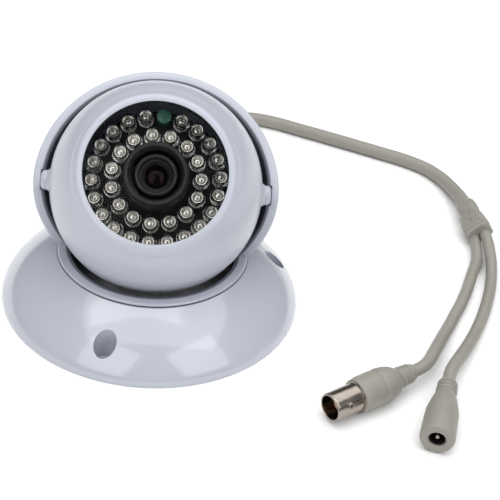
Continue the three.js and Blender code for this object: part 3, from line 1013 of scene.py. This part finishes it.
BOARD_TOP = 11.0
OUTER_RING_R, INNER_RING_R = 21.3, 14.9
LAMP = IN_BALL @ turn_about("Z", -3)
board_profile = [(9.3, 9.4), (24.0, 9.4), (24.0, BOARD_TOP, 0.15), (9.3, BOARD_TOP, 0.15)]
fitted("led_board_disc", board_profile, BOARD, 96, LAMP, "ball", "circuit_board", "led_board")

STAND = BOARD_TOP + 0.3
cell_profile = [(0, STAND), (2.5, STAND), (2.5, STAND + 4.0, 0.35), (2.3, STAND + 4.5, 0.3),
                (0, STAND + 4.6)]
fitted("photocell_disc", cell_profile, PHOTOCELL_GREEN, 40, LAMP @ at(0, OUTER_RING_R, 0),
       "ball", "photocell", "photocell")
screw_profile = [(0, BOARD_TOP), (1.2, BOARD_TOP), (1.2, 11.6, 0.2), (0.5, 11.9, 0.2), (0.3, 11.5),
                 (0, 11.5)]
fitted("board_screw", screw_profile, SCREW_STEEL, 24, LAMP @ at(-0.9, -12.3, 0), "ball", "nickel")
print("window, seal, board, screw and photocell made")

# %% [markdown]
# ### Thirty-six LEDs
#
# Each LED is a clear cast lens over a lead frame: a post with a small bright cup that holds the chip,
# and a second post beside it. Two hair-thin metal rings are painted highlights: they stand where the
# edges of the flange and the foot would catch the light.
# The lens is solid, so it must bend light; the metal inside is what makes it glitter. One LED is
# modelled, and the same tree that set the screws sets two rings of them, each LED leaning by up to
# a degree or two, as hand-fitted ones do.

# %% One LED: the cast lens, and the metal inside
LED_R, LED_FLANGE_R, LED_HEIGHT = 2.5, 2.9, 7.8
lens_profile = [(0, 0), (LED_FLANGE_R, 0, 0.1), (LED_FLANGE_R, 1.0, 0.12), (LED_R, 1.0, 0.1)]
lens_profile += arc(LED_R, 0, 90, 10, LED_HEIGHT - LED_R)[:-1] + [(0, LED_HEIGHT)]
seed_lens = turned("seed_lens", lens_profile, EPOXY, sides=28, crease=40)


def led_metal():
    """Two posts, the cup with its chip on one of them, and two metal rings as painted highlights of
    the flange's and the foot's edges.
    """
    cup = [(0, 2.6), (0.55, 2.6), (0.65, 3.8, 0.1), (1.1, 4.2, 0.1), (1.2, 4.8, 0.05),
           (1.05, 4.8, 0.05), (0.55, 4.15), (0.45, 4.4, 0.1), (0, 4.5)]
    made = turned("seed_metal", cup, CUP_METAL, sides=20, crease=40)
    post = [(0, 0.4), (0.4, 0.4), (0.4, 3.0), (0, 3.0)]
    side_post = [(0, 0.4), (0.3, 0.4), (0.3, 3.6), (0, 3.6)]
    # The edge and foot rings are painted highlights: bright metal where the lens's flange and foot
    # would catch the light.
    edge = [(2.6, 0.82), (2.74, 0.82), (2.74, 0.94), (2.6, 0.94)]
    foot = [(2.26, 1.55), (2.36, 1.55), (2.36, 1.65), (2.26, 1.65)]
    pieces = ((post, 8, 0.0), (side_post, 8, -2.0), (edge, 28, 0.0), (foot, 28, 0.0))
    for profile, sides, x in pieces:
        part = placed(turned("post", profile, CUP_METAL, sides=sides), at(x, 0, 0))
        joined = bmesh.new()
        joined.from_mesh(made.data)
        joined.from_mesh(part.data)
        joined.to_mesh(made.data)
        joined.free()
        bpy.data.objects.remove(part)
    return smoothed(made, 40)


seed_metal = led_metal()
print("one LED:", len(seed_lens.data.polygons) + len(seed_metal.data.polygons), "faces")

# %% Two rings of them
RINGS = {
    "outer": {"Count": 22, "First": 1, "Last": 21, "Radius": OUTER_RING_R * MM, "Seed": 5},
    "inner": {"Count": 15, "First": 0, "Last": 14, "Radius": INNER_RING_R * MM, "Seed": 9},
}
NAMES = {"outer": [f"ir_led_{k:02d}" for k in range(1, 22)],
         "inner": [f"ir_led_{k:02d}" for k in range(22, 37)]}
LED_LEAN = math.radians(1.2)
for ring, settings in RINGS.items():
    half_step = 0.0 if ring == "outer" else math.pi / settings["Count"]
    settings = {**settings, "Height": STAND * MM, "Start angle": math.pi / 2 + half_step,
                "Lean": LED_LEAN}
    lenses = grown(f"led_lenses_{ring}", CIRCLE_OF_COPIES,
                   {**settings, "Piece": seed_lens, "Material": EPOXY})
    given(placed(smoothed(lenses, 40), LAMP), "ball", "led_epoxy", *NAMES[ring])
    metal = grown(f"led_metal_{ring}", CIRCLE_OF_COPIES,
                  {**settings, "Piece": seed_metal, "Material": CUP_METAL})
    given(placed(smoothed(metal, 40), LAMP), "ball", "nickel")
    print(ring, "ring:", len(lenses.data.polygons) + len(metal.data.polygons), "faces")
for seed in (seed_lens, seed_metal):
    bpy.data.objects.remove(seed)

# %% [markdown]
# ### The lens
#
# A black shroud stands on the board round the lens, to keep the LEDs' light out of it. Inside it
# the barrel screws into its holder, and its mouth steps down to the front glass. The sensor board
# is hidden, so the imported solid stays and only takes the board's finish.

# %% Shroud, holder, barrel, glass and sensor board
shroud_profile = [
    (9.4, STAND), (10.8, STAND), (10.8, 23.6, 0.4), (10.2, 24.4, 0.3), (9.2, 24.4, 0.3),
    (8.2, 22.6, 0.3), (8.2, 21.4, 0.2), (9.4, 20.4),
]
fitted("lens_shroud_ring", shroud_profile, BLACK_SATIN, 96, LAMP,
       "ball", "black_plastic", "lens_shroud")

holder_profile = [(6.35, -1.2), (6.35, 10.4, 0.2), (8.7, 10.4, 0.3), (8.7, -3.0), (4.5, -3.0),
                  (4.5, -1.2)]
holder = turned("lens_holder_body", holder_profile, BLACK_SATIN, sides=64)
plate = block("foot", (-9, 9), (-9, 9), (-4.0, -2.2), BLACK_SATIN)
foot = carved(plate, disc("hole", 4.5, -5, 0, BLACK_SATIN))
carved(holder, foot, "UNION")
given(placed(holder, IN_BALL), "ball", "black_plastic", "lens_holder")

barrel_profile = [
    (3.9, 1.0), (6.0, 1.0), (6.0, 11.2), (7.1, 11.2, 0.2), (7.1, 14.0), (6.85, 14.2), (6.85, 14.8),
    (7.1, 15.0), (7.1, 21.7, 0.3), (6.7, 22.2, 0.2), (5.9, 22.2, 0.15), (5.35, 21.3, 0.1),
    (5.3, 20.9, 0.1), (4.6, 20.5, 0.1), (4.5, 20.0, 0.1), (3.9, 19.4, 0.1), (3.9, 17.6),
]
fitted("lens_barrel_body", barrel_profile, BLACK_SATIN, 72, IN_BALL,
       "lens", "black_plastic", "lens_barrel")

glass_profile = [(0, 14.6), (3.5, 14.6)] + [
    (3.5 * math.cos(a), 17.3 + 1.3 * math.sin(a))
    for a in [math.pi / 2 * k / 12 for k in range(12)]
] + [(0, 18.6)]
fitted("front_lens_glass", glass_profile, LENS_GLASS, 64, IN_BALL,
       "lens", "lens_glass", "lens_glass", crease=60)
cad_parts["sensor_board"].data.materials.clear()
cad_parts["sensor_board"].data.materials.append(BOARD)
print("lens made")

# %% [markdown]
# ## Splitter
#
# The splitter is a soft moulding with two lobes and a waist between them, lying rolled on its edge.
# Its upper face is flat and pitted where the mould was textured, its sides are round, and a raised lip
# runs round the wide end. It is lofted: one rounded section after another along its length.

# %% Sections along the splitter
SPLITTER = {"x": 129.0, "y": 44.4, "z": 5.7, "turn": 5.6, "roll": -44, "length": 22.7}
PIT_COUNT, PIT_DEPTH = 30, 0.5
random.seed(11)
PITS = [(random.uniform(3.5, 19.5), random.uniform(-2.8, 2.8), random.uniform(0.4, 0.75))
        for _ in range(PIT_COUNT)]


def splitter_size(s):
    """Half the width and half the height at a place along the length."""
    marks = [(0, 4.5, 3.4), (0.5, 4.95, 3.85), (1.5, 5.0, 3.9), (2.0, 4.4, 3.3), (2.9, 5.0, 3.95),
             (6.5, 5.1, 4.0), (10, 4.7, 3.75), (13, 3.75, 3.25), (14.2, 3.65, 3.2), (17.0, 4.1, 3.45),
             (19.8, 4.05, 3.45), (21.8, 3.35, 3.1), (22.7, 2.88, 2.88)]
    for (s0, w0, h0), (s1, w1, h1) in zip(marks, marks[1:]):
        if s <= s1:
            t = (s - s0) / (s1 - s0)
            t = t * t * (3 - 2 * t)
            return w0 + (w1 - w0) * t, h0 + (h1 - h0) * t
    return marks[-1][1:]


def splitter_point(s, a):
    """A point of the section: a rounded square at the lead end, nearly round at the neck."""
    half_w, half_h = splitter_size(s)
    power = 5.6 - 3.5 * min(1.0, (s / SPLITTER["length"]) ** 1.6)
    c, d = math.cos(a), math.sin(a)
    reach = (abs(c / half_w) ** power + abs(d / half_h) ** power) ** (-1 / power)
    x, z = reach * c, reach * d
    if z > 0.6 * half_h:
        for place, side, size in PITS:
            gap = math.hypot(s - place, x - side) / size
            if gap < 1:
                z -= PIT_DEPTH * (1 - gap * gap) ** 2
    return x, s, z


rows, count = 120, 160
split_points = [splitter_point(SPLITTER["length"] * i / rows, math.tau * k / count)
                for i in range(rows + 1) for k in range(count)]
split_faces = [[i * count + k, i * count + (k + 1) % count,
                (i + 1) * count + (k + 1) % count, (i + 1) * count + k]
               for i in range(rows) for k in range(count)]
split_faces += [list(range(count)), [rows * count + k for k in range(count)]]
splitter = body("cable_splitter_body", split_points, split_faces, MOULDED_GREY, crease=50)
IN_SPLITTER = (at(SPLITTER["x"], SPLITTER["y"], SPLITTER["z"])
               @ turn_about("Z", SPLITTER["turn"]) @ turn_about("Y", SPLITTER["roll"]))
given(placed(splitter, IN_SPLITTER), "base", "cable_jacket", "cable_splitter")
print("splitter", len(splitter.data.polygons), "faces,", len(PITS), "pits")

# %% [markdown]
# ## Plugs
#
# Both plugs are drawn from their open front, at 0, back towards the cable. The video jack is a nickel
# tube with two bayonet studs and an insulator inside; the power socket is a grey boot whose bore
# has a thin black lining and a centre pin. Each boot's neck has rings that let it bend, and they
# come from a tree of their own: a round bar swept on a circle, copied along the axis.

# %% Rings along an axis
def ring_tree(name):
    """Rings of a round bar, a step apart along Z, each a little wider than the last."""
    t, asked = started(name, {
        "Count": "Int", "Step": "Float", "Radius": "Float", "Bar": "Float", "Growth": "Float",
        "First": "Float", "Material": "Material",
    })
    index = t.node("GeometryNodeInputIndex")
    spot = t.node("ShaderNodeCombineXYZ", {}, {2: asked("First") + asked("Step") * index})
    points = t.node("GeometryNodePoints", {}, {"Count": asked("Count"), "Position": spot})
    circle = "GeometryNodeCurvePrimitiveCircle"
    path = t.node(circle, {}, {"Resolution": 56, "Radius": asked("Radius")})
    bar = t.node(circle, {}, {"Resolution": 12, "Radius": asked("Bar")})
    sweep = t.node("GeometryNodeCurveToMesh", {}, {"Curve": path, "Profile Curve": bar})
    size = 1.0 + asked("Growth") * index
    scale = t.node("ShaderNodeCombineXYZ", {}, {0: size, 1: size, 2: 1.0})
    copies = t.node("GeometryNodeInstanceOnPoints", {},
                    {"Points": points, "Instance": sweep, "Scale": scale})
    return finished(t, copies, asked("Material"), smooth=True)


RINGS_ALONG = ring_tree("rings_along_an_axis")


def plug_place(x, y, z, aim):
    """Where a plug's axis starts, with +Z towards its cable."""
    return at(x, y, z) @ turn_about("Z", aim) @ turn_about("X", 90)


IN_JACK = plug_place(60.5, -64.0, 6.2, 124.5)
IN_SOCKET = plug_place(93.6, -75.5, 5.8, 164)
print("plug frames and ring tree made")

# %% The video jack
jack_profile = [
    (4.1, 0.0, 0.15), (4.6, 0.0, 0.25), (4.8, 0.5, 0.2), (4.8, 10.7), (5.3, 10.8, 0.15),
    (5.3, 13.2), (0, 13.2), (0, 11.0), (4.1, 11.0), (4.1, 9.0), (4.25, 8.8), (4.25, 1.2), (4.1, 1.0),
]
jack = turned("video_jack_barrel", jack_profile, NICKEL, sides=72, crease=38)
stud_profile = [(0, 4.2), (1.2, 4.2), (1.2, 5.6, 0.2), (0.85, 5.7, 0.1), (0.75, 5.4, 0.1), (0, 5.4)]
STUD_DEPTH, STUD_TURN = 4.8, -28
for side in (90, -90):
    stud = turned("stud", stud_profile, NICKEL, sides=28)
    where = at(0, 0, STUD_DEPTH) @ turn_about("Z", STUD_TURN) @ turn_about("Y", side)
    carved(jack, placed(stud, where), "UNION", crease=38)
given(placed(jack, IN_JACK), "base", "nickel", "bnc_barrel")

insulator_profile = [(0.7, 3.0, 0.1), (1.7, 3.0, 0.2), (1.7, 10.7), (0, 10.7), (0, 8.0), (0.7, 8.0)]
insulator = fitted("video_jack_insulator", insulator_profile, TAN, 40, IN_JACK,
                   "base", "insulator", "bnc_insulator")

boot_profile = [
    (0, 13.5), (5.4, 13.5), (5.4, 10.9), (5.65, 10.9, 0.1), (6.05, 13.4, 0.5), (6.1, 19.2, 0.3),
    (5.8, 19.7, 0.2), (5.8, 20.1, 0.2), (6.15, 20.8, 0.4), (5.95, 23.4, 1.0), (5.2, 26.0, 1.2),
    (4.1, 27.8, 0.6), (3.4, 28.8, 0.4), (2.9, 35.4, 0.3), (2.4, 35.8), (0, 35.8),
]
boot = fitted("video_jack_boot", boot_profile, MOULDED_GREY, 80, IN_JACK,
              "base", "cable_jacket", "bnc_boot", crease=45)
jack_rings = grown("video_jack_boot_rings", RINGS_ALONG, {
    "Count": 3, "Step": 1.65 * MM, "Radius": 2.95 * MM, "Bar": 0.7 * MM, "Growth": -0.03,
    "First": 30.2 * MM, "Material": MOULDED_GREY,
})
given(placed(jack_rings, IN_JACK), "base", "cable_jacket")
print("video jack made")

# %% The power socket
socket_profile = [
    (2.75, 0.4, 0.3), (3.1, 0.0, 0.2), (5.1, 0.0, 0.5), (5.7, 0.9, 0.5), (5.55, 9.0, 2.0),
    (5.4, 13.3, 0.2), (5.15, 13.7, 0.2), (5.2, 14.4, 0.3), (4.5, 17.8, 2.0), (3.7, 21.2, 1.2),
    (3.1, 22.8, 0.6), (2.75, 29.0, 0.3), (2.4, 29.4), (0, 29.4), (0, 9.8), (2.75, 9.8),
]
socket = fitted("power_socket_body", socket_profile, MOULDED_GREY, 80, IN_SOCKET,
                "base", "cable_jacket", "power_socket_boot", crease=45)
pin_profile = [(0, 1.2), (0.55, 1.2, 0.2), (1.0, 1.8, 0.3), (1.05, 9.5), (0, 9.5)]
pin = fitted("power_socket_centre_pin", pin_profile, NICKEL, 28, IN_SOCKET,
             "base", "nickel", "power_socket_pin")
socket_rings = grown("power_socket_boot_rings", RINGS_ALONG, {
    "Count": 3, "Step": 1.7 * MM, "Radius": 2.85 * MM, "Bar": 0.7 * MM, "Growth": -0.02,
    "First": 23.9 * MM, "Material": MOULDED_GREY,
})
given(placed(socket_rings, IN_SOCKET), "base", "cable_jacket")
lining_profile = [(2.45, 0.9, 0.1), (2.72, 0.9), (2.72, 9.75), (0, 9.75), (0, 9.6), (2.45, 9.6)]
lining = fitted("power_socket_lining", lining_profile, BLACK_SATIN, 40, IN_SOCKET,
                "base", "black_plastic")
print("power socket made")

# %% [markdown]
# The main cable ends in the splitter, and each lead leaves the splitter and ends in its plug.

# %% Hanging the cords on the base
given(main_cord, "base", "cable_jacket", "main_cable")
given(video_cord, "base", "cable_jacket", "video_lead")
given(power_cord, "base", "cable_jacket", "power_lead")


# %% [markdown]
# ## Table and light
#
# A plain white table and big soft lights. One broad panel overhead does most of the work. A strip
# above and a softbox to each side draw three faint panels in the base's gloss, and a pale sky fills
# the rest.

# %% Table
def table_finish():
    f = Finish("white_table")
    drift = f.noise(300.0, 1.0)
    colour = f.blend(drift, rgba(0.965, 0.965, 0.965), rgba(0.975, 0.975, 0.975))
    return f.done(f.principled({"Base Color": colour, "Roughness": 0.9, "Specular IOR Level": 0.1}))


span = 4000.0
table = body("white_table", [(-span, -span, 0), (span, -span, 0), (span, span, 0), (-span, span, 0)],
             [(0, 1, 2, 3)], table_finish())
placed(table, at(0, 0, -0.05))
print("table laid")


# %% Lights
def panel(name, size, power, place, aim, colour=(1.0, 1.0, 1.0)):
    light = bpy.data.lights.new(name, "AREA")
    light.shape = "RECTANGLE"
    light.size, light.size_y = size
    light.energy = power
    light.color = colour
    lamp = bpy.data.objects.new(name, light)
    facing = (Vector(aim) - Vector(place)).to_track_quat("-Z", "Y").to_matrix().to_4x4()
    lamp.matrix_world = Matrix.Translation(Vector(place)) @ facing
    scene.collection.objects.link(lamp)
    return lamp


panel("overhead_panel", (2.2, 2.3), 28.0, (0.1, 0.45, 1.4), (0.1, 0.45, 0.0))
panel("top_strip", (1.25, 0.28), 2.4, (-0.2, -0.16, 1.3), (-0.2, -0.16, 0.0))
panel("left_softbox", (0.65, 0.8), 3.4, (-0.46, -0.74, 0.67), (0.0, 0.0, 0.02))
panel("right_softbox", (0.65, 0.8), 3.4, (0.62, -0.63, 0.67), (0.0, 0.0, 0.02))
sky = bpy.data.worlds.new("studio")
sky.use_nodes = True
sky.node_tree.nodes["Background"].inputs["Color"].default_value = rgba(0.93, 0.96, 1.0)
sky.node_tree.nodes["Background"].inputs["Strength"].default_value = 0.12
scene.world = sky
scene.view_settings.view_transform = "Standard"
print("lights set")
